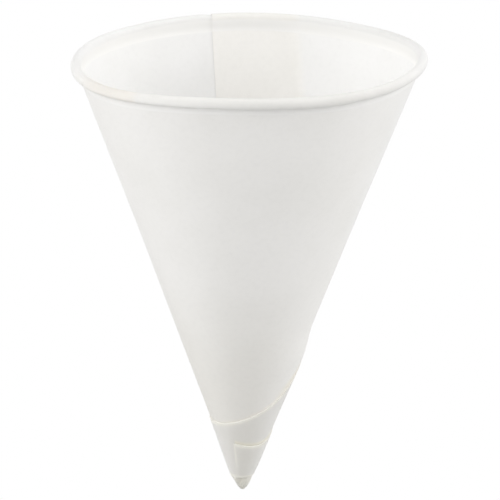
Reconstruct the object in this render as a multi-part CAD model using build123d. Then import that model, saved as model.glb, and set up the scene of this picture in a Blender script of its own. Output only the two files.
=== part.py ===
from build123d import *
import os
from math import atan, cos, degrees, exp, pi, radians, sin, tan

# Cone cup wound from one sheet of paper, standing on its rolled rim with the tip up.
# Origin: centre of the rim, on the surface the cup stands on. Millimetres.
# Angles run round the cup from the middle of the far side, in degrees, and go on
# past 360 where the sheet starts another turn outside the one below it.
# Distances along the sheet are measured from the point where the cone would end.

# Paper
paper = 0.18

# Cone
rim_diameter = 73.0
half_angle = 20.5
neck_height = 3.3

# Rolled rim, in degrees of curl and with the curl's end tucked in by a clearance.
# The curl goes round in narrow straight bands.
roll_diameter = 2.05
roll_outer_turn = 270.0
roll_tucked_turn = 150.0
roll_tuck = 0.12
roll_outer_bands = 9
roll_tucked_bands = 3

# Start of the sheet on the mouth side, and the little step that its cover leaves
sheet_start = -12.7
cover_step = 0.15

# Outer edge of the sheet: a straight cut, then a rounded tail with a corner
cut_distance = 19.4
cut_foot = 601.0
tail_low = 14.05
tail_low_angle = 868.0
tail_reach_angle = 81.0
tail_corner = 14.9
tail_end = 918.0

# Loose outer turns: how far their free edges stand off the turn below, and where
first_lift = 0.85
first_lift_from = 385.0
first_lift_peak = 455.0
first_lift_to = 620.0
second_lift = 0.4
second_lift_from = 720.0
second_lift_peak = 815.0
second_lift_to = 940.0

# Pinched tip, measured back from the point where the cone would end
tip_crease = 5.6
tip_fold = 4.0
tip_end = 2.1
tip_plug_depth = 3.0
tip_shoulder = 0.25
tip_sideways = 0.4
fold_width = 3.6
fold_thickness = 3.1
end_width = 1.9
end_thickness = 1.1
tip_twist = 40.0

# How closely the outer turns are followed: narrow sections near the rim, wider at
# the small end of the cone
cut_sections = 20
cut_section_growth = 1.4
tail_section_step = 15.0

# Sizes that follow
tilt = radians(half_angle)
layer = paper / cos(tilt)
root = paper / 2
roll_radius = roll_diameter / 2
neck_radius = rim_diameter / 2 - roll_diameter
apex_height = neck_height + (neck_radius + layer) / tan(tilt)
neck_distance = (neck_radius + layer) / sin(tilt)
crease_distance = tip_crease / cos(tilt)
second_turn = sheet_start + 360
third_turn = sheet_start + 720
far_side = 90.0

# The straight cut, from where it leaves the rim to its foot nearest the tip
cut_length = (neck_distance**2 - cut_distance**2) ** 0.5
seam_end = cut_foot - degrees(atan(cut_length / cut_distance)) / sin(tilt)
seam_width = seam_end - second_turn


def edge_distance(angle):
    """Distance of the sheet's outer edge. The straight cut unrolls to one line."""
    if angle <= cut_foot:
        return cut_distance / cos(radians(cut_foot - angle) * sin(tilt))
    if angle <= tail_low_angle:
        dip = exp(-(((angle - tail_low_angle) / tail_reach_angle) ** 2))
        return cut_distance - (cut_distance - tail_low) * dip
    share = (angle - tail_low_angle) / (tail_end - tail_low_angle)
    return tail_low + (tail_corner - tail_low) * share**2


def swell(angle, start, peak, end):
    """0 up to start and from end on, 1 at the peak, and smooth between."""
    if angle <= start or angle >= end:
        return 0.0
    side = peak - start if angle < peak else end - peak
    return 0.5 + 0.5 * cos(pi * (angle - peak) / side)


def lift(angle, distance):
    """How far a turn stands off the one below, from none at the tip crease."""
    first = first_lift * swell(angle, first_lift_from, first_lift_peak, first_lift_to)
    second = second_lift * swell(angle, second_lift_from, second_lift_peak, second_lift_to)
    share = (distance - crease_distance) / (edge_distance(angle) - crease_distance)
    return (first + second) * share


def outer_face(angle, distance):
    """Height of the sheet's outer face above that of the first turn."""
    if angle < second_turn:
        return 0.0
    if angle < seam_end:
        share = (angle - second_turn) / seam_width
        return paper * (cover_step + (1 - 2 * cover_step) * share)
    return outer_face(angle - 360, distance) + lift(angle, distance) + paper


def inner_face(angle, distance):
    """Height of its inner face, rooted in the turn below where it lies on that."""
    rooted = root * max(0.0, 1 - lift(angle, distance) / (2 * paper))
    return outer_face(angle, distance) - paper - rooted


def on_cone(angle, distance, height):
    """Point on the cone, raised square to the wall."""
    turned = radians(far_side + angle)
    radius = distance * sin(tilt) + height * cos(tilt)
    level = apex_height - distance * cos(tilt) + height * sin(tilt)
    return Vector(radius * cos(turned), radius * sin(turned), level)


def turn_section(angle):
    """The sheet cut through along the cone, from the tip crease to its outer edge."""
    ends = (crease_distance, edge_distance(angle))
    inner = [on_cone(angle, end, inner_face(angle, end)) for end in ends]
    outer = [on_cone(angle, end, outer_face(angle, end)) for end in reversed(ends)]
    return Wire.make_polygon(inner + outer, close=True)


def outer_turns():
    """The second turn, under the straight cut, and the third, under the tail."""
    under_cut = cut_foot - seam_end
    shares = [(i / cut_sections) ** cut_section_growth for i in range(cut_sections)]
    second = [seam_end + under_cut * share for share in shares]
    second += spread(cut_foot, third_turn)
    return [wound(second), wound(spread(third_turn, tail_end))]


def spread(start, end):
    count = round((end - start) / tail_section_step)
    return [start + (end - start) * i / count for i in range(count + 1)]


def wound(angles):
    return Solid.make_loft([turn_section(angle) for angle in angles], ruled=True)


def curl(centre, radius, start, turn, bands):
    """Corners of a curl in section, from its start angle round by its turn."""
    angles = [radians(start + turn * i / bands) for i in range(bands + 1)]
    return [centre + Vector(radius * cos(a), radius * sin(a)) for a in angles]


def roll_line(face, tucked):
    """One face of the rolled rim, counted in layers from the mouth side."""
    centre = Vector(neck_radius + roll_radius, roll_radius)
    line = curl(centre, roll_radius - face * layer, 180, roll_outer_turn, roll_outer_bands)
    if not tucked:
        return line
    tucked_radius = roll_radius - layer - roll_tuck
    centre += Vector(0, roll_radius - tucked_radius)
    inside = curl(centre, tucked_radius - face * layer, 90, roll_tucked_turn, roll_tucked_bands)
    return line + inside[1:]


def roll_section(inner, outer, tucked=True):
    """The rolled rim in section, between two faces, with or without its tucked end."""
    outline = roll_line(inner, tucked) + roll_line(outer, tucked)[::-1]
    return Plane.XZ * make_face(Polyline(*outline, close=True))


def wall_section(inner, outer):
    """Cone wall and neck in section, between two faces."""
    outline = []
    for face in (inner, outer):
        tip = (tip_crease * tan(tilt) + (face - 1) * layer, apex_height - tip_crease)
        neck = neck_radius + face * layer
        line = [tip, (neck, neck_height), (neck, roll_radius)]
        outline += line if face == inner else line[::-1]
    return Plane.XZ * make_face(Polyline(*outline, close=True))


def first_turn():
    """The single thickness of paper that goes all the way round, rim to tip."""
    return revolve(wall_section(0, 1), Axis.Z) + revolve(roll_section(0, 1), Axis.Z)


def seam():
    """Where the sheet lies double: over its own start, out to the straight cut."""
    drift = (0.5 - cover_step) * layer / sin(radians(seam_width / 2))
    start = far_side + sheet_start
    double = wall_section(-0.5, 1.5)
    wall = revolve(Rot(0, 0, -seam_width / 2) * double, Axis.Z, seam_width)
    wall = Rot(0, 0, start + seam_width / 2) * Pos(0, drift, 0) * wall
    rolled = roll_section(root / paper, 2, tucked=False)
    roll = revolve(Rot(0, 0, start) * rolled, Axis.Z, seam_width)
    return [wall, roll]


def pinched(width, thickness, twist, below_end):
    """Flattened outline of the folded tip, this far back from the cone's end."""
    middle = Plane((-tip_sideways, 0, apex_height - below_end))
    return middle * Rot(0, 0, twist) * Ellipse(width / 2, thickness / 2)


def tip():
    """The turns crushed together past a crease, flattened and twisted shut."""
    stack = tip_crease * tan(tilt) + 2 * layer + tip_sideways / 2
    shoulder = Plane((-tip_sideways / 2, 0, apex_height - tip_crease - tip_shoulder))
    crease = shoulder.offset(tip_shoulder)
    collar = loft([shoulder * Circle(stack), crease * Circle(stack)])
    folded = loft(
        [
            crease * Circle(stack),
            pinched(fold_width, fold_thickness, tip_twist / 2, tip_fold),
            pinched(end_width, end_thickness, tip_twist, tip_end),
        ]
    )
    plug_floor = (tip_crease + tip_plug_depth) * tan(tilt) - root
    plug_top = tip_crease * tan(tilt) - root
    plug = Pos(0, 0, apex_height - tip_crease - tip_plug_depth) * Cone(
        plug_floor, plug_top, tip_plug_depth, align=(Align.CENTER, Align.CENTER, Align.MIN)
    )
    return collar + folded + plug


def paper_cup():
    cup = first_turn()
    for piece in [*seam(), *outer_turns(), tip()]:
        cup = cup + piece
    return cup


os.makedirs("parts", exist_ok=True)
export_step(paper_cup(), "parts/paper_cup.step")
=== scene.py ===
import math

import bpy
from mathutils import Matrix, Vector

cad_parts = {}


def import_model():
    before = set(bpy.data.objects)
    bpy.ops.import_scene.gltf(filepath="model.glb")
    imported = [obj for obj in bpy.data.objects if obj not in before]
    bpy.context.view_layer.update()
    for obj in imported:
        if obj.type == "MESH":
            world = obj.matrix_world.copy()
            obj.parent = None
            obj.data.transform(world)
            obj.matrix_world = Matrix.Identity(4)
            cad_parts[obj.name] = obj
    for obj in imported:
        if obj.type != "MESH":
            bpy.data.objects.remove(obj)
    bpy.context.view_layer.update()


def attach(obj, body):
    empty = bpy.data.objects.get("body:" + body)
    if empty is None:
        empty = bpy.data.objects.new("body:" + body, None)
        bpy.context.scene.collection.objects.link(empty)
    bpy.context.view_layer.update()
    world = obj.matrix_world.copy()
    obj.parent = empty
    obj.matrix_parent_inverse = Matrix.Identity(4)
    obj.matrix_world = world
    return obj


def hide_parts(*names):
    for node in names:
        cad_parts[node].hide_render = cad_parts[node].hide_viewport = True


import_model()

# Cone cup wound from one sheet of paper, standing on its rolled rim with the tip up.
# The blank starts as a flat grid, is wound round the cone, rolled at the rim,
# pinched at the tip and given its thickness. Lengths are in millimetres, and angles
# in degrees run round the cup from the middle of its far side, past 360 where the
# sheet starts another turn outside the one below it. Distances along the sheet are
# measured from the point where the cone would end.

MM = 0.001

# Paper and cone, as in the solid
PAPER = 0.18
RIM_DIAMETER = 73.0
TILT = math.radians(20.5)
NECK_HEIGHT = 3.3
ROLL_RADIUS = 2.05 / 2

# Outline of the blank: its start, the straight cut, and the rounded tail with its corner
SHEET_START = -12.7
CUT_DISTANCE = 19.4
CUT_FOOT = 601.0
TAIL_LOW = 14.05
TAIL_LOW_ANGLE = 868.0
TAIL_REACH = 81.0
TAIL_CORNER = 14.9
TAIL_END = 918.0

# How far apart the turns lie, and how far in the tip, with the distances between which
# the one goes over into the other
PITCH = 0.19
TIP_PITCH = 0.26
TIP_PITCH_ENDS = (8.0, 15.0)

# The step that the sheet's start makes under its cover: how wide it is, how far past the
# cut it goes and how far round at most
START_RAMP = 7.0
START_PAST_CUT = 3.0
START_RAMP_LIMIT = 34.0

# Where the wall is pushed out at the sheet's two outer edges: how far, and from, at and
# to which angles, and between which distances it dies away. The first grows with the
# distance, and the second sets in beside the tip's crease.
FIRST_BULGE = (0.85, 20.0, 90.0, 185.0)
FIRST_BULGE_END = (33.7, 41.5)
FIRST_BULGE_GROWTH = 1.27
SECOND_BULGE = (0.12, -15.0, 95.0, 230.0)
SECOND_BULGE_FROM_CREASE = (-1.0, 5.0)
SECOND_BULGE_END = (13.4, 19.4)

# Rolled rim: how far its curl and the tucked end after it go round, the gap between them,
# where the sheet starts to draw in so that it passes inside its own start, how round the
# wall bends into the neck, and how much taller the roll is than a circle
CURL = 270.0
TUCK = 150.0
TUCK_GAP = 0.12
DRAW_IN_FROM = 343.0
BEND = 0.7
ROLL_TALL = 1.17

# Pinched tip, measured back from the point where the cone would end, and its twist
TIP_CREASE = 5.6
TIP_END = 2.1
TIP_TWIST = 48.0

# How far the tip is bent to one side and from which share of the way from its crease to
# its end, and how much of that the wall next to it follows, over how long a run
TIP_SIDEWAYS = 0.4
TIP_SIDEWAYS_FROM = -0.6
WALL_SIDEWAYS = 0.3
WALL_SIDEWAYS_RUN = 14.0

# The tip's oval: half its width, how much of that it loses on the way from its crease to
# its end, how much flatter it gets, how much it closes and from which share of the way,
# its smallest radius, by which share it has stepped in from the wall, and how much less
# of the way each turn further in goes
TIP_HALF_WIDTH = 2.3
TIP_NARROWS = (1.2, 0.5)
TIP_FLATTENS = 0.3
TIP_CLOSES = 0.3
TIP_CLOSES_FROM = 0.8
TIP_NARROWEST = 0.03
TIP_SHOULDER = 0.12
INNER_TURN_SHORTER = 0.07

# Folds of the tip: how many, where the first lies, how deep, by which share of the way
# they are full, and how much a wider pair of folds pulls it out of round
TIP_PLEATS = 5
FIRST_PLEAT = 0.6
PLEAT_DEPTH = 0.13
PLEATS_FULL = 0.3
TIP_OUT_OF_ROUND = 0.04

# The whole cone leans to one side over its level rim
LEAN = math.tan(math.radians(1.44))

# The thin rim is a little out of round and wavy, as cosine and sine sizes of one wave
# round the cup, two and so on. Its dents each have an angle, a width and a depth. The
# waves set in at a distance from the cone's end, and the rim lies a little higher there.
RIM_OUT = ((-0.01, 0.112), (-0.038, 0.051), (-0.086, -0.175), (-0.02, -0.113))
RIM_RISE = ((-0.23, -0.134), (-0.284, 0.094), (0.117, 0.139), (-0.187, -0.091))
ROLL_THICK = ((0.039, -0.005), (-0.032, -0.011), (-0.075, 0.03))
DENTS = ((133.5, 1.8, 0.07), (141.0, 2.2, 0.09), (170.0, 1.6, 0.06), (191.0, 1.8, 0.05))
RIM_WAVES_FROM = 60.0
RIM_HIGHER = 0.235

# How far the whole cup is raised, so that its wavy rim rests on the surface, and how far
# its wall is pushed in at the front and back, twice that on the left and not at all on
# the right, with the distances between which that sets in
RISE = 0.245
WALL_IN = 0.13
WALL_IN_ENDS = (8.0, 24.0)

# The blank's rows in each part of the cup, and how much the wall's spread out
ROWS = {"tip": 14, "wall": 46, "bend": 5, "neck": 2, "curl": 14, "tuck": 8}
WALL_ROWS_GROWTH = 1.3

# The blank's columns: their spacing along the first turn, where it draws in, where it
# lies double and under the tail, and how many lie under the straight cut and spread out
COLUMN_STEP = 2.25
DRAW_IN_STEP = 1.1
DOUBLE_STEP = 2.0
TAIL_STEP = 3.0
CUT_COLUMNS = 72
CUT_COLUMNS_GROWTH = 1.25

# The sheet's maps: lengths are divided by the one and angles by the other. The painted
# highlight along a cut edge is narrower along the sheet's end, and what lies near no edge
# gets a large run.
LENGTHS = 100.0
DEGREES = 1000.0
END_NARROWER = 2.0
FAR_OFF = 10.0

# The flat sheet's length in the tucked end, and edges sharper than this stay sharp
TUCK_LENGTH = 2.0
SMOOTH_BELOW = 40.0

# Sizes that follow
LAYER = PAPER / math.cos(TILT)
NECK_RADIUS = RIM_DIAMETER / 2 - 2 * ROLL_RADIUS
APEX = NECK_HEIGHT + (NECK_RADIUS + LAYER) / math.tan(TILT)
NECK_DISTANCE = (NECK_RADIUS + LAYER) / math.sin(TILT)
CREASE_DISTANCE = TIP_CREASE / math.cos(TILT)
WALL_TOP = NECK_DISTANCE - BEND
SECOND_TURN = SHEET_START + 360
ROLL_LENGTHS = {
    "bend": 2 * BEND,
    "neck": NECK_HEIGHT - BEND - ROLL_RADIUS,
    "curl": math.radians(CURL) * (ROLL_RADIUS - PAPER / 2),
    "tuck": TUCK_LENGTH,
}

# The paper's colour, and the tints that multiply it: clouds and speckles in the paper, a
# warmer tone with painted light where the sheet is double, painted shade towards the tip
# with its sides left lighter, painted cool light on its free sides, painted shade just
# before the lap, painted shade on the roll, painted light under the roll, painted warm
# light on a stretch of the rim, the crushed tip's warmer tone, painted shade at the tip's
# end and on the sheet's cut face, a tan tone beside the straight cut, painted light beside
# the cut's foot, and a tan tone with painted light beside the tail. Two take the colour's
# place instead: painted light along the neck, and a painted highlight along a cut edge and
# along the tip's crease.
PAPER_WHITE = (0.945, 0.933, 0.91)
CLOUD = (0.975, 0.975, 0.97)
GRAIN = (0.98, 0.98, 0.98)
DOUBLE_TONE_AND_LIGHT = (1.012, 1.008, 0.997)
LOWER_SHADE = (0.92, 0.914, 0.892)
COOL_SIDE_LIGHT = (0.99, 0.997, 1.01)
SHADE_BEFORE_LAP = (0.957, 0.957, 0.957)
ROLL_SHADE = (0.955, 0.955, 0.95)
LIGHT_UNDER_ROLL = (1.05, 1.05, 1.05)
WARM_LIGHT_ON_RIM = (1.0, 0.98, 0.952)
CRUSHED = (1.0, 0.992, 0.95)
TIP_END_SHADE = (0.88, 0.885, 0.885)
CUT_FACE_SHADE = (0.86, 0.86, 0.86)
BY_THE_CUT = (0.99, 0.965, 0.9)
LIGHT_BY_THE_FOOT = (1.035, 1.02, 1.0)
TONE_AND_LIGHT_BY_THE_TAIL = (1.1, 1.08, 0.99)
NECK_LIGHT = (0.958, 0.95, 0.93)
EDGE_HIGHLIGHT = (0.972, 0.952, 0.885)

# Noise on the flat sheet: the scale of its clouds, speckles and fibres, between which
# values the first two go from none to full, and how fine and how rough it is
CLOUDS = (7.0, 0.35, 0.75)
SPECKLES = (90.0, 0.4, 0.75)
FIBRES = 240.0
DETAIL = 2.0
FIBRE_DETAIL = 4.0
NOISE_ROUGHNESS = 0.55

# The paper's surface: how rough and glossy it is, and how strong and high its tooth is
ROUGHNESS = 0.78
GLOSS = 0.3
TOOTH_STRENGTH = 0.35
TOOTH_HEIGHT = 0.03

# Light that passes through the paper: its colour, and how much of it, also where the
# outer turns are loose
THROUGH_PAPER = (0.95, 0.955, 0.96)
THROUGH = 0.16
LOOSE_THROUGH = 0.45

# Floor, with its width in metres, and even light
FLOOR_SIZE = 8.0
FLOOR_GREY = (0.88, 0.88, 0.88)
EVEN_LIGHT = 0.72

# Soft square lamps, in metres and watts. Left and right are as the camera sees them, and
# overhead is over the tip.
LAMP_SIZE = 1.2
LAMP_AIM = (0.0, 0.0, 0.045)
LAMPS = {
    "key": ((0.9, -0.9, -1.0), 9.4),
    "fill": ((0.9, -1.3, -0.3), 2.2),
    "left": ((1.4, -0.2, -0.6), 5.5),
    "right": ((-1.4, -0.2, -0.6), 14.6),
    "overhead": ((0.5, -0.9, 1.3), 2.8),
}

# Camera: its place and how far it sees in metres, the way it looks, its own right, and
# its lens and sensor in millimetres
CAMERA_PLACE = (-0.000017, -0.970, -0.245185)
CAMERA_FORWARD = (0.0, 0.9589, 0.2838)
CAMERA_RIGHT = (-0.99998, -0.002, 0.0067)
LENS = 351.54
SENSOR = 36.0
SIGHT = 20.0


def smooth(value, start, end):
    """0 up to start, 1 from end on, and smooth between."""
    share = min(1.0, max(0.0, (value - start) / (end - start)))
    return share * share * (3 - 2 * share)


def swell(angle, start, peak, end):
    """0 at start and end, 1 at the peak, and smooth between."""
    if angle <= start or angle >= end:
        return 0.0
    side = peak - start if angle < peak else end - peak
    return 0.5 + 0.5 * math.cos(math.pi * (angle - peak) / side)


def cut_angle(distance):
    """Where round the cup the straight cut crosses a distance from the cone's end."""
    return CUT_FOOT - math.degrees(math.acos(CUT_DISTANCE / distance) / math.sin(TILT))


def edge_distance(angle):
    """Distance of the sheet's outer edge from the cone's end."""
    if angle <= CUT_FOOT:
        return CUT_DISTANCE / math.cos(math.radians(CUT_FOOT - angle) * math.sin(TILT))
    if angle <= TAIL_LOW_ANGLE:
        dip = math.exp(-(((angle - TAIL_LOW_ANGLE) / TAIL_REACH) ** 2))
        return CUT_DISTANCE - (CUT_DISTANCE - TAIL_LOW) * dip
    share = (angle - TAIL_LOW_ANGLE) / (TAIL_END - TAIL_LOW_ANGLE)
    return TAIL_LOW + (TAIL_CORNER - TAIL_LOW) * share**2


SEAM_END = cut_angle(WALL_TOP)


def bulge(angle, distance):
    """How far the first turn is pushed out, and with it those that lie on it."""
    near, far = FIRST_BULGE_END
    first = FIRST_BULGE[0] * swell(angle, *FIRST_BULGE[1:])
    first *= min(1.0, distance / near) ** FIRST_BULGE_GROWTH
    second = SECOND_BULGE[0] * swell(angle, *SECOND_BULGE[1:])
    second *= smooth(distance - CREASE_DISTANCE, *SECOND_BULGE_FROM_CREASE)
    first *= 1 - smooth(distance, near, far)
    return first + second * (1 - smooth(distance, *SECOND_BULGE_END))


def start_step(angle, distance):
    """1 where the sheet's start lies under its cover, down to 0 past the cut."""
    cut = cut_angle(max(distance, CUT_DISTANCE + 1)) - 360
    end = min(cut + START_PAST_CUT, START_RAMP_LIMIT)
    return 1 - smooth(angle, end - START_RAMP, end)


def height(angle, distance):
    """Height of the middle of the sheet over the outer face of the first turn."""
    if angle < SECOND_TURN:
        return bulge(angle, distance) - PAPER / 2 - PITCH * start_step(angle, distance)
    loose = (TIP_PITCH - PITCH) * (1 - smooth(distance, *TIP_PITCH_ENDS))
    return height(angle - 360, distance) + PITCH + loose


def on_wall(angle, distance):
    """Radius and level of the sheet on the cone's wall."""
    out = height(angle, distance)
    radius = distance * math.sin(TILT) + out * math.cos(TILT)
    return radius, APEX - distance * math.cos(TILT) + out * math.sin(TILT)


def bead(angle):
    """How much thicker the rolled rim is than designed, with the small dents in it."""
    turn = angle % 360
    dents = [depth * math.exp(-(((turn - at) / width) ** 2)) for at, width, depth in DENTS]
    return waves(angle, ROLL_THICK) - sum(dents)


def waves(angle, terms):
    """Sum of waves round the cup, each with its cosine and sine size."""
    turned = math.radians(angle)
    pairs = enumerate(terms, 1)
    return sum(a * math.cos(n * turned) + b * math.sin(n * turned) for n, (a, b) in pairs)


def bent(angle, distance):
    """How far the rim is pushed out and up, and the wall pushed in on its left."""
    rim = smooth(distance, RIM_WAVES_FROM, NECK_DISTANCE)
    out = rim * waves(angle, RIM_OUT)
    rise = rim * (waves(angle, RIM_RISE) + RIM_HIGHER)
    wall = smooth(distance, *WALL_IN_ENDS) * (1 - rim)
    return out - WALL_IN * wall * (1 - math.sin(math.radians(angle))), rise + RISE


def roll_shape(angle):
    """The neck's radius, the bend's level, and the curl's middle level and radius."""
    covered = angle >= SECOND_TURN
    base = angle - 360 if covered else angle
    step, drawn = start_step(base, NECK_DISTANCE), drawn_in(angle)
    outer = ROLL_RADIUS - PAPER / 2 + bead(base)
    level = outer + PAPER / 2 + PITCH / 2 * (step + drawn)
    size = outer + PITCH / 2 * (step - drawn) - (PITCH if covered else 0.0)
    wall = NECK_RADIUS + LAYER + height(angle, NECK_DISTANCE) * math.cos(TILT)
    return wall, NECK_HEIGHT + height(angle, NECK_DISTANCE) * math.sin(TILT), level, size


def drawn_in(angle):
    """How far the first turn's end has drawn in to pass inside the sheet's own start."""
    return 0.0 if angle >= SECOND_TURN else smooth(angle, DRAW_IN_FROM, SECOND_TURN)


def room_for_cover(angle):
    """How much tighter the tucked end is where two thicknesses are rolled together."""
    if angle >= SECOND_TURN:
        return 0.0
    single = smooth(angle, cut_angle(NECK_DISTANCE) - 360, START_RAMP_LIMIT)
    return PITCH * max(1 - single, drawn_in(angle))


def rounded(start, corner, end, share):
    """Point on the curve that rounds a corner."""
    near, far = (1 - share) ** 2, share**2
    middle = 1 - near - far
    return tuple(near * a + middle * b + far * c for a, b, c in zip(start, corner, end))


def rolled(angle, part, share):
    """Radius and level of the sheet at the neck and in the rolled rim."""
    wall, bend_level, level, size = roll_shape(angle)
    top = bend_level - BEND
    if part == "bend":
        return rounded(on_wall(angle, WALL_TOP), (wall, bend_level), (wall, top), share)
    if part == "neck":
        return wall, top + (level * ROLL_TALL - top) * share
    centre = wall + size
    if part == "curl":
        turned = math.radians(180 + CURL * share)
        return centre + size * math.cos(turned), ROLL_TALL * (level + size * math.sin(turned))
    tucked = size - PITCH - TUCK_GAP - room_for_cover(angle)
    turned = math.radians(90 + TUCK * share)
    middle_level = level + size - tucked
    return centre + tucked * math.cos(turned), ROLL_TALL * (middle_level + tucked * math.sin(turned))


def outermost(angle):
    """Angle of the last turn that passes over this side of the cup."""
    while angle + 360 <= TAIL_END:
        angle += 360
    return angle


def pleats(across, share):
    """Folds of the crushed tip: sharp pleats that deepen towards its end."""
    ridge = math.asin(math.sin(TIP_PLEATS * across + FIRST_PLEAT)) / (math.pi / 2)
    folds = PLEAT_DEPTH * smooth(share, 0.0, PLEATS_FULL) * ridge
    return folds + TIP_OUT_OF_ROUND * share * math.sin(2 * across)


def pinched(angle, share):
    """Point of the sheet in the crushed tip, from its crease to its blunt end."""
    last = outermost(angle)
    inward = height(last, CREASE_DISTANCE) - height(angle, CREASE_DISTANCE)
    share *= 1 - INNER_TURN_SHORTER * (last - angle) / 360
    turned = math.radians(angle + 90)
    wall = TIP_CREASE * math.tan(TILT) + height(angle, CREASE_DISTANCE) * math.cos(TILT)
    across = turned - math.radians(TIP_TWIST * share)
    half_width = TIP_HALF_WIDTH - TIP_NARROWS[0] * share - TIP_NARROWS[1] * share**2
    half_thick = half_width * (1 - TIP_FLATTENS * share)
    oval = half_width * half_thick
    oval /= math.hypot(half_thick * math.cos(across), half_width * math.sin(across))
    oval = oval * (1 + pleats(across, share)) - inward
    radius = wall + (oval - wall) * smooth(share, 0.0, TIP_SHOULDER)
    radius = max(TIP_NARROWEST, radius * (1 - TIP_CLOSES * smooth(share, TIP_CLOSES_FROM, 1.0)))
    level = APEX - TIP_CREASE + (TIP_CREASE - TIP_END) * share
    side = -TIP_SIDEWAYS * smooth(share, TIP_SIDEWAYS_FROM, 1.0)
    return radius * math.cos(turned) + side, radius * math.sin(turned), level


def wall_side(distance):
    """How far the wall near the tip is drawn to one side with it."""
    share = 1 - (distance - CREASE_DISTANCE) / WALL_SIDEWAYS_RUN
    return -TIP_SIDEWAYS * WALL_SIDEWAYS * smooth(share, TIP_SIDEWAYS_FROM, 1.0)


def spaced(start, end, step):
    """Even angles from start up to, but without, the end, about a step apart."""
    count = max(1, round((end - start) / step))
    return [start + (end - start) * i / count for i in range(count)]


def columns():
    """Angles of the blank's columns, closer where the straight cut is steep."""
    angles = spaced(SHEET_START, DRAW_IN_FROM, COLUMN_STEP)
    angles += spaced(DRAW_IN_FROM, SECOND_TURN, DRAW_IN_STEP)
    angles += spaced(SECOND_TURN, SEAM_END, DOUBLE_STEP)
    under = CUT_FOOT - SEAM_END
    shares = [(i / CUT_COLUMNS) ** CUT_COLUMNS_GROWTH for i in range(CUT_COLUMNS)]
    angles += [SEAM_END + under * share for share in shares]
    return angles + spaced(CUT_FOOT, TAIL_END, TAIL_STEP) + [TAIL_END]


def rows():
    """The blank's rows as a part of the cup and a share of it, from tip to curl."""
    tip, wall, bend, tuck = ROWS["tip"], ROWS["wall"], ROWS["bend"], ROWS["tuck"]
    result = [("tip", 1 - i / tip) for i in range(tip)]
    result += [("wall", (i / wall) ** WALL_ROWS_GROWTH) for i in range(wall + 1)]
    result += [("bend", i / bend) for i in range(1, bend)]
    for part in ("neck", "curl"):
        result += [(part, i / ROWS[part]) for i in range(ROWS[part])]
    return result + [("tuck", i / tuck) for i in range(tuck + 1)]


def row_distance(part, share):
    """Distance along the flat sheet of a row past the wall."""
    parts = list(ROLL_LENGTHS)
    before = sum(ROLL_LENGTHS[name] for name in parts[: parts.index(part)])
    return WALL_TOP + before + ROLL_LENGTHS[part] * share


def wind(angle, part, share):
    """Place of a point of the sheet, and its distance along the flat sheet."""
    if part == "tip":
        x, y, z = pinched(angle, share)
        return (x, y, z + RISE), CREASE_DISTANCE - (TIP_CREASE - TIP_END) * share
    if part == "wall":
        top = min(edge_distance(angle), WALL_TOP) if angle >= SEAM_END else WALL_TOP
        distance = CREASE_DISTANCE + (top - CREASE_DISTANCE) * share
        radius, level = on_wall(angle, distance)
        side = wall_side(distance)
    else:
        distance = row_distance(part, share)
        if angle > SECOND_TURN:
            slant = (cut_angle(distance) - SECOND_TURN) / (SEAM_END - SECOND_TURN)
            angle = SECOND_TURN + (angle - SECOND_TURN) * slant
        radius, level = rolled(angle, part, share)
        side = 0.0
    out, rise = bent(angle, distance)
    turned = math.radians(90 + angle)
    radius += out
    return (radius * math.cos(turned) + side, radius * math.sin(turned), level + rise), distance


def flat_blank(angles, stations):
    """The sheet before winding: a flat grid, with what lies past the straight cut off."""
    bpy.ops.object.select_all(action="DESELECT")
    bpy.ops.mesh.primitive_grid_add(
        x_subdivisions=len(angles) - 1, y_subdivisions=len(stations) - 1, size=2
    )
    sheet = bpy.context.object
    sheet.name = sheet.data.name = "wound_sheet"
    bpy.ops.object.mode_set(mode="EDIT")
    bpy.ops.mesh.select_mode(type="FACE")
    bpy.ops.mesh.select_all(action="DESELECT")
    bpy.ops.object.mode_set(mode="OBJECT")
    seam_column = angles.index(SEAM_END)
    wall_row = stations.index(("wall", 1.0))
    for face in sheet.data.polygons:
        cells = [cell(sheet.data.vertices[v].co, angles, stations) for v in face.vertices]
        past = min(i for i, _ in cells) >= seam_column
        face.select = past and max(j for _, j in cells) > wall_row
    bpy.ops.object.mode_set(mode="EDIT")
    bpy.ops.mesh.delete(type="FACE")
    bpy.ops.object.mode_set(mode="OBJECT")
    return sheet


def cell(place, angles, stations):
    """Column and row of a vertex of the flat grid."""
    i = round((place.x + 1) / 2 * (len(angles) - 1))
    return i, round((place.y + 1) / 2 * (len(stations) - 1))


def from_edge(angle, distance):
    """How far in from the sheet's outer edge or its end, where that is near."""
    if angle < SECOND_TURN:
        return FAR_OFF
    to_end = math.radians(TAIL_END - angle) * math.sin(TILT) * distance
    return max(0.0, min(edge_distance(angle) - distance, END_NARROWER * to_end))


def from_cover(angle, distance):
    """How far out from the outer edge that covers the sheet, or far off where none does."""
    if angle < CUT_FOOT - 360:
        opened = math.radians(CUT_FOOT - 360 - angle) * math.sin(TILT)
        return max(0.0, distance * math.cos(opened) - CUT_DISTANCE)
    if angle + 360 <= TAIL_END:
        return max(0.0, distance - edge_distance(angle + 360))
    return FAR_OFF


def map_places(angle, distance):
    """Where a point of the sheet lies on each of its maps."""
    opened = math.radians(angle) * math.sin(TILT)
    flat = (distance * math.cos(opened) / LENGTHS, distance * math.sin(opened) / LENGTHS)
    return {
        "flat_sheet": flat,
        "edges": (from_edge(angle, distance) / LENGTHS, angle / DEGREES),
        "covers": (from_cover(angle, distance) / LENGTHS, angle / DEGREES),
    }


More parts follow.
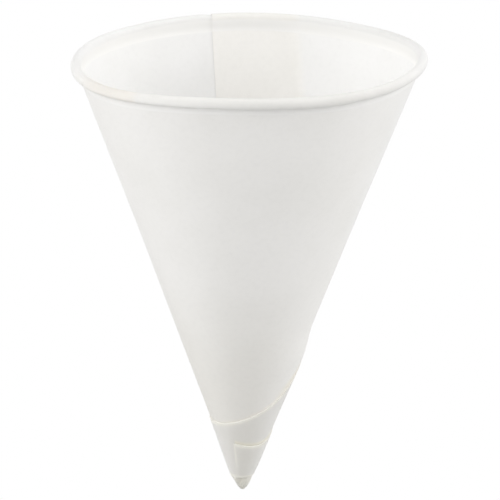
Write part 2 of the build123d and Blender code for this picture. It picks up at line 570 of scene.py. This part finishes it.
def wound_sheet():
    """The blank wound into the cup, with its maps and its thickness."""
    angles, stations = columns(), rows()
    sheet = flat_blank(angles, stations)
    mesh = sheet.data
    maps = []
    for vertex in mesh.vertices:
        i, j = cell(vertex.co, angles, stations)
        (x, y, z), distance = wind(angles[i], *stations[j])
        vertex.co = Vector((x + LEAN * z, y, z)) * MM
        maps.append(map_places(angles[i], distance))
    mesh.uv_layers[0].name = "flat_sheet"
    mesh.uv_layers.new(name="edges")
    mesh.uv_layers.new(name="covers")
    for loop in mesh.loops:
        for name, place in maps[loop.vertex_index].items():
            mesh.uv_layers[name].uv[loop.index].vector = place
    thicken = sheet.modifiers.new("thickness", "SOLIDIFY")
    thicken.thickness = PAPER * MM
    thicken.offset = 0.0
    bpy.ops.object.modifier_apply(modifier=thicken.name)
    bpy.ops.object.shade_smooth_by_angle(angle=math.radians(SMOOTH_BELOW))
    return sheet


def put(tree, kind, values=None, links=None, **settings):
    """A shader node with its settings, its sockets' constants and what is linked in."""
    made = tree.nodes.new(kind)
    for name, value in settings.items():
        setattr(made, name, value)
    for socket, value in (values or {}).items():
        made.inputs[socket].default_value = value
    for socket, source in (links or {}).items():
        tree.links.new(source, made.inputs[socket])
    return made


def empty_tree(owner):
    """The node tree of a material or world, with nothing in it."""
    owner.use_nodes = True
    owner.node_tree.nodes.clear()
    return owner.node_tree


def between(tree, value, low, high, start=0.0, end=1.0):
    """A value's place between two limits, eased at both ends."""
    limits = {"From Min": low, "From Max": high, "To Min": start, "To Max": end}
    eased = put(
        tree, "ShaderNodeMapRange", limits, {"Value": value}, interpolation_type="SMOOTHSTEP"
    )
    return eased.outputs["Result"]


def math_node(tree, operation, first, second, **settings):
    """What an operation makes of two sockets, or of a constant and a socket."""
    pair = dict(enumerate((first, second)))
    values = {i: value for i, value in pair.items() if isinstance(value, float)}
    links = {i: value for i, value in pair.items() if i not in values}
    made = put(tree, "ShaderNodeMath", values, links, operation=operation, **settings)
    return made.outputs[0]


def speckle(tree, place, scale, detail=DETAIL):
    """Noise laid out on the flat sheet."""
    values = {"Scale": scale, "Detail": detail, "Roughness": NOISE_ROUGHNESS}
    return put(tree, "ShaderNodeTexNoise", values, {"Vector": place}).outputs[0]


class PaperColor:
    """The paper's colour, built up tint by tint at places on the sheet.

    A place is given on the sheet's maps. Distance is from the cone's end, run is in from
    the outer edge, and out is out from the edge that covers the sheet, in millimetres.
    The angle goes on past 360 from turn to turn, and around starts again with each turn.
    """

    def __init__(self, tree):
        self.tree = tree
        self.flat = self.uv_map("flat_sheet")
        run, angle = self.two_of("edges")
        length = put(tree, "ShaderNodeVectorMath", links={0: self.flat}, operation="LENGTH")
        self.maps = {
            "distance": (length.outputs[1], LENGTHS),
            "run": (run, LENGTHS),
            "out": (self.two_of("covers")[0], LENGTHS),
            "angle": (angle, DEGREES),
            "around": (math_node(tree, "MODULO", angle, 360 / DEGREES), DEGREES),
        }
        paint = put(tree, "ShaderNodeRGB")
        paint.outputs[0].default_value = (*PAPER_WHITE, 1)
        self.color = paint.outputs[0]

    def uv_map(self, name):
        """Places on one of the sheet's maps."""
        return put(self.tree, "ShaderNodeUVMap", uv_map=name).outputs[0]

    def two_of(self, name):
        """The two measures of one of the sheet's maps."""
        parts = put(self.tree, "ShaderNodeSeparateXYZ", links={0: self.uv_map(name)})
        return parts.outputs[0], parts.outputs[1]

    def step(self, name, start, full, low=0.0, high=1.0):
        """The low value up to where a step starts on a map, and the high one from where
        it is full."""
        source, unit = self.maps[name]
        return between(self.tree, source, start / unit, full / unit, low, high)

    def zone(self, **limits):
        """1 in a place and 0 outside. A map has where the place starts and is full, and
        for a band also where it is full up to and where it ends."""
        steps = []
        for name, (start, full, *last) in limits.items():
            steps.append(self.step(name, start, full))
            if last:
                steps.append(self.step(name, last[1], last[0]))
        return self.both(*steps)

    def both(self, mask, *others):
        """The place that all of the masks share."""
        for other in others:
            mask = math_node(self.tree, "MULTIPLY", mask, other)
        return mask

    def outside(self, mask, *others):
        """A mask with the places of others taken out of it."""
        left = [math_node(self.tree, "SUBTRACT", 1.0, other) for other in others]
        return self.both(mask, *left)

    def lay(self, tint, mask, mode="MULTIPLY"):
        """Lay a tint over the colour where the mask is 1."""
        links = {0: mask, 6: self.color}
        mixed = put(
            self.tree, "ShaderNodeMix", {7: (*tint, 1)}, links, data_type="RGBA", blend_type=mode
        )
        self.color = mixed.outputs[2]

    def lay_speckle(self, tint, scale, low, high):
        """Lay a tint in spots, where noise of this scale lies high."""
        noise = speckle(self.tree, self.flat, scale)
        self.lay(tint, between(self.tree, noise, low, high))


def shade_turns(paper):
    """A warmer tone with painted light where the sheet is double on the far side, painted
    shade towards the tip with its sides left lighter, painted cool light on its free sides,
    and painted shade where it is about to pass over its own start."""
    # Painted light, with a warmer tone, where the sheet lies double
    double = paper.zone(angle=(70, 60), out=(2.4, 0))
    paper.lay(DOUBLE_TONE_AND_LIGHT, double)
    # Painted shade towards the tip, with the flanks left lighter as painted light
    lit_right_flank = paper.zone(around=(40, 80, 110, 170))
    lit_left_flank = paper.zone(around=(180, 270, 300, 345), angle=(400, 420))
    lower_shade = paper.zone(distance=(62, 24))
    paper.lay(LOWER_SHADE, paper.outside(lower_shade, lit_right_flank, lit_left_flank))
    # Painted cool light on the first turn's sides, away from the front and the double part
    front = paper.zone(angle=(90, 130, 250, 275))
    cool_lit_sides = paper.zone(angle=(348, 347.5), distance=(50, 70))
    paper.lay(COOL_SIDE_LIGHT, paper.outside(cool_lit_sides, double, front))
    # Painted shade just before the lap
    lap_shade = paper.zone(angle=(300, 347, 347.5, 348), distance=(NECK_DISTANCE, NECK_DISTANCE - 1))
    paper.lay(SHADE_BEFORE_LAP, lap_shade)


def shade_rim(paper):
    """Painted shade on the roll, darker in front, painted light under it, painted light along
    the neck, and painted warm light on a stretch on the left."""
    # Painted shade on the roll, laid twice in front
    rim = paper.zone(distance=(NECK_DISTANCE + 2, NECK_DISTANCE + 2.6))
    left = paper.zone(angle=(242, 260, 310, 325))
    right = paper.zone(angle=(60, 85, 112, 128))
    front = paper.zone(angle=(138, 150, 175, 205))
    # Painted light under the roll, which lifts its shade
    under = paper.zone(distance=(NECK_DISTANCE + 4.9, NECK_DISTANCE + 5.8))
    under = paper.both(under, paper.step("angle", 165, 200, low=0.5))
    top = paper.outside(rim, under)
    paper.lay(ROLL_SHADE, paper.outside(top, left, right))
    paper.lay(ROLL_SHADE, paper.both(top, front))
    paper.lay(LIGHT_UNDER_ROLL, paper.both(under, paper.zone(angle=(180, 200, 300, 325))))
    # Painted light along the neck, up to the roll
    neck_light_band = paper.zone(distance=(NECK_DISTANCE - 0.6, NECK_DISTANCE - 0.3))
    paper.lay(NECK_LIGHT, paper.outside(neck_light_band, rim), "MIX")
    # Painted warm light on a stretch of the rim on the left
    neck = (NECK_DISTANCE + 1.5, NECK_DISTANCE + 2.5)
    paper.lay(WARM_LIGHT_ON_RIM, paper.zone(angle=(217, 221, 238, 252), distance=neck))


def shade_tip(paper):
    """The crushed tip's warmer tone past its crease, painted shade towards its end, and a painted
    highlight on the crease.
    """
    crease = CREASE_DISTANCE
    paper.lay(CRUSHED, paper.zone(distance=(crease, crease - 0.7)))
    # Painted shade towards the tip's end
    paper.lay(TIP_END_SHADE, paper.zone(distance=(crease - 1.2, crease - 3.0)))
    # Painted highlight along the tip's crease
    middle, reach = crease + 0.1, 0.45
    crease_highlight_band = (middle - reach, middle - reach / 3, middle + reach / 3, middle + reach)
    paper.lay(EDGE_HIGHLIGHT, paper.zone(distance=crease_highlight_band), "MIX")


def shade_edges(paper):
    """A painted highlight along the sheet's outer edge, painted shade on its cut face, a tan
    tone beside the straight cut, painted light beside the cut's foot, and a tan tone with
    painted light beside the tail."""
    # Painted highlight along the sheet's outer edge
    outer = paper.zone(angle=(347, 348))
    edge_highlight_band = paper.both(paper.zone(run=(1.1, 0.3), distance=(7, 12)), outer)
    paper.lay(EDGE_HIGHLIGHT, edge_highlight_band, "MIX")
    # Painted shade on the cut face
    face = paper.both(paper.zone(run=(0.05, 0)), paper.step("angle", 650, 750, low=0.35))
    paper.lay(CUT_FACE_SHADE, paper.both(face, outer))
    paper.lay(BY_THE_CUT, paper.zone(out=(3, 1), angle=(60, 70, 110, 140)))
    # Painted light, a little warm, beside the cut's foot
    paper.lay(LIGHT_BY_THE_FOOT, paper.zone(out=(0.9, 0.3), angle=(110, 140, 270, 300)))
    # A tan tone, with painted light that lifts the shade beside the tail
    paper.lay(TONE_AND_LIGHT_BY_THE_TAIL, paper.zone(out=(1.2, 0.3), angle=(400, 420)))


def paper_material():
    """Matte white paper with a fine tooth, and some light passing through it."""
    material = bpy.data.materials.new("cup_paper")
    tree = empty_tree(material)
    paper = PaperColor(tree)
    paper.lay_speckle(CLOUD, *CLOUDS)
    paper.lay_speckle(GRAIN, *SPECKLES)
    shade_turns(paper)
    shade_rim(paper)
    shade_tip(paper)
    shade_edges(paper)
    fibres = speckle(tree, paper.flat, FIBRES, FIBRE_DETAIL)
    relief = {"Strength": TOOTH_STRENGTH, "Distance": TOOTH_HEIGHT * MM}
    tooth = put(tree, "ShaderNodeBump", relief, {"Height": fibres}).outputs[0]
    skin = put(
        tree,
        "ShaderNodeBsdfPrincipled",
        {"Roughness": ROUGHNESS, "Specular IOR Level": GLOSS},
        {"Base Color": paper.color, "Normal": tooth},
    )
    through = put(
        tree, "ShaderNodeBsdfTranslucent", {"Color": (*THROUGH_PAPER, 1)}, {"Normal": tooth}
    )
    loose = paper.step("angle", 400, 440, THROUGH, LOOSE_THROUGH)
    layers = {0: loose, 1: skin.outputs[0], 2: through.outputs[0]}
    mix = put(tree, "ShaderNodeMixShader", links=layers)
    put(tree, "ShaderNodeOutputMaterial", links={0: mix.outputs[0]})
    return material


def floor_material():
    """Pale floor for the camera from above, open to light and from underneath."""
    material = bpy.data.materials.new("pale_floor")
    tree = empty_tree(material)
    seen = put(tree, "ShaderNodeLightPath").outputs["Is Camera Ray"]
    below = put(tree, "ShaderNodeNewGeometry").outputs["Backfacing"]
    above = math_node(tree, "SUBTRACT", seen, below, use_clamp=True)
    clear = put(tree, "ShaderNodeBsdfTransparent")
    pale = put(tree, "ShaderNodeBsdfDiffuse", {"Color": (*FLOOR_GREY, 1)})
    layers = {0: above, 1: clear.outputs[0], 2: pale.outputs[0]}
    mix = put(tree, "ShaderNodeMixShader", links=layers)
    put(tree, "ShaderNodeOutputMaterial", links={0: mix.outputs[0]})
    return material


def floor():
    """A wide floor under the rim, which casts no shadow itself."""
    bpy.ops.object.select_all(action="DESELECT")
    bpy.ops.mesh.primitive_plane_add(size=FLOOR_SIZE)
    plane = bpy.context.object
    plane.name = plane.data.name = "floor"
    plane.data.materials.append(floor_material())
    plane.visible_shadow = False


def lamp(name, place, power):
    """A soft square lamp that faces the middle of the cup."""
    data = bpy.data.lights.new(name, "AREA")
    data.shape = "SQUARE"
    data.size = LAMP_SIZE
    data.energy = power
    shade = bpy.data.objects.new(name, data)
    bpy.context.scene.collection.objects.link(shade)
    shade.location = place
    aim = Vector(LAMP_AIM) - Vector(place)
    shade.rotation_euler = aim.to_track_quat("-Z", "Y").to_euler()


def world():
    """Even light from all round, and plain white where the camera looks past the cup."""
    sky = bpy.data.worlds.new("studio")
    bpy.context.scene.world = sky
    tree = empty_tree(sky)
    ray = put(tree, "ShaderNodeLightPath").outputs
    seen = math_node(tree, "MAXIMUM", ray["Is Camera Ray"], ray["Is Glossy Ray"])
    seen = math_node(tree, "MAXIMUM", seen, ray["Is Transmission Ray"])
    even = put(tree, "ShaderNodeBackground", {"Strength": EVEN_LIGHT})
    white = put(tree, "ShaderNodeBackground", {"Color": (1, 1, 1, 1)})
    layers = {0: seen, 1: even.outputs[0], 2: white.outputs[0]}
    mix = put(tree, "ShaderNodeMixShader", links=layers)
    put(tree, "ShaderNodeOutputWorld", links={0: mix.outputs[0]})


def camera():
    """A view of the cup turned mouth up, seen a little from above."""
    data = bpy.data.cameras.new("camera")
    data.sensor_width = SENSOR
    data.lens = LENS
    data.clip_end = SIGHT
    view = bpy.data.objects.new("camera", data)
    bpy.context.scene.collection.objects.link(view)
    right = Vector(CAMERA_RIGHT).normalized()
    forward = Vector(CAMERA_FORWARD)
    forward = (forward - forward.dot(right) * right).normalized()
    up = right.cross(forward)
    turn = Matrix((right, up, -forward)).transposed()
    view.matrix_world = Matrix.Translation(CAMERA_PLACE) @ turn.to_4x4()
    bpy.context.scene.camera = view


def paper_cup():
    """The wound sheet in its paper, which takes the place of the solid."""
    sheet = wound_sheet()
    sheet.data.materials.append(paper_material())
    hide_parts("paper_cup")
    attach(sheet, "root")


paper_cup()
floor()
world()
for name, (place, power) in LAMPS.items():
    lamp(name, place, power)
camera()
bpy.context.scene.view_settings.view_transform = "Standard"
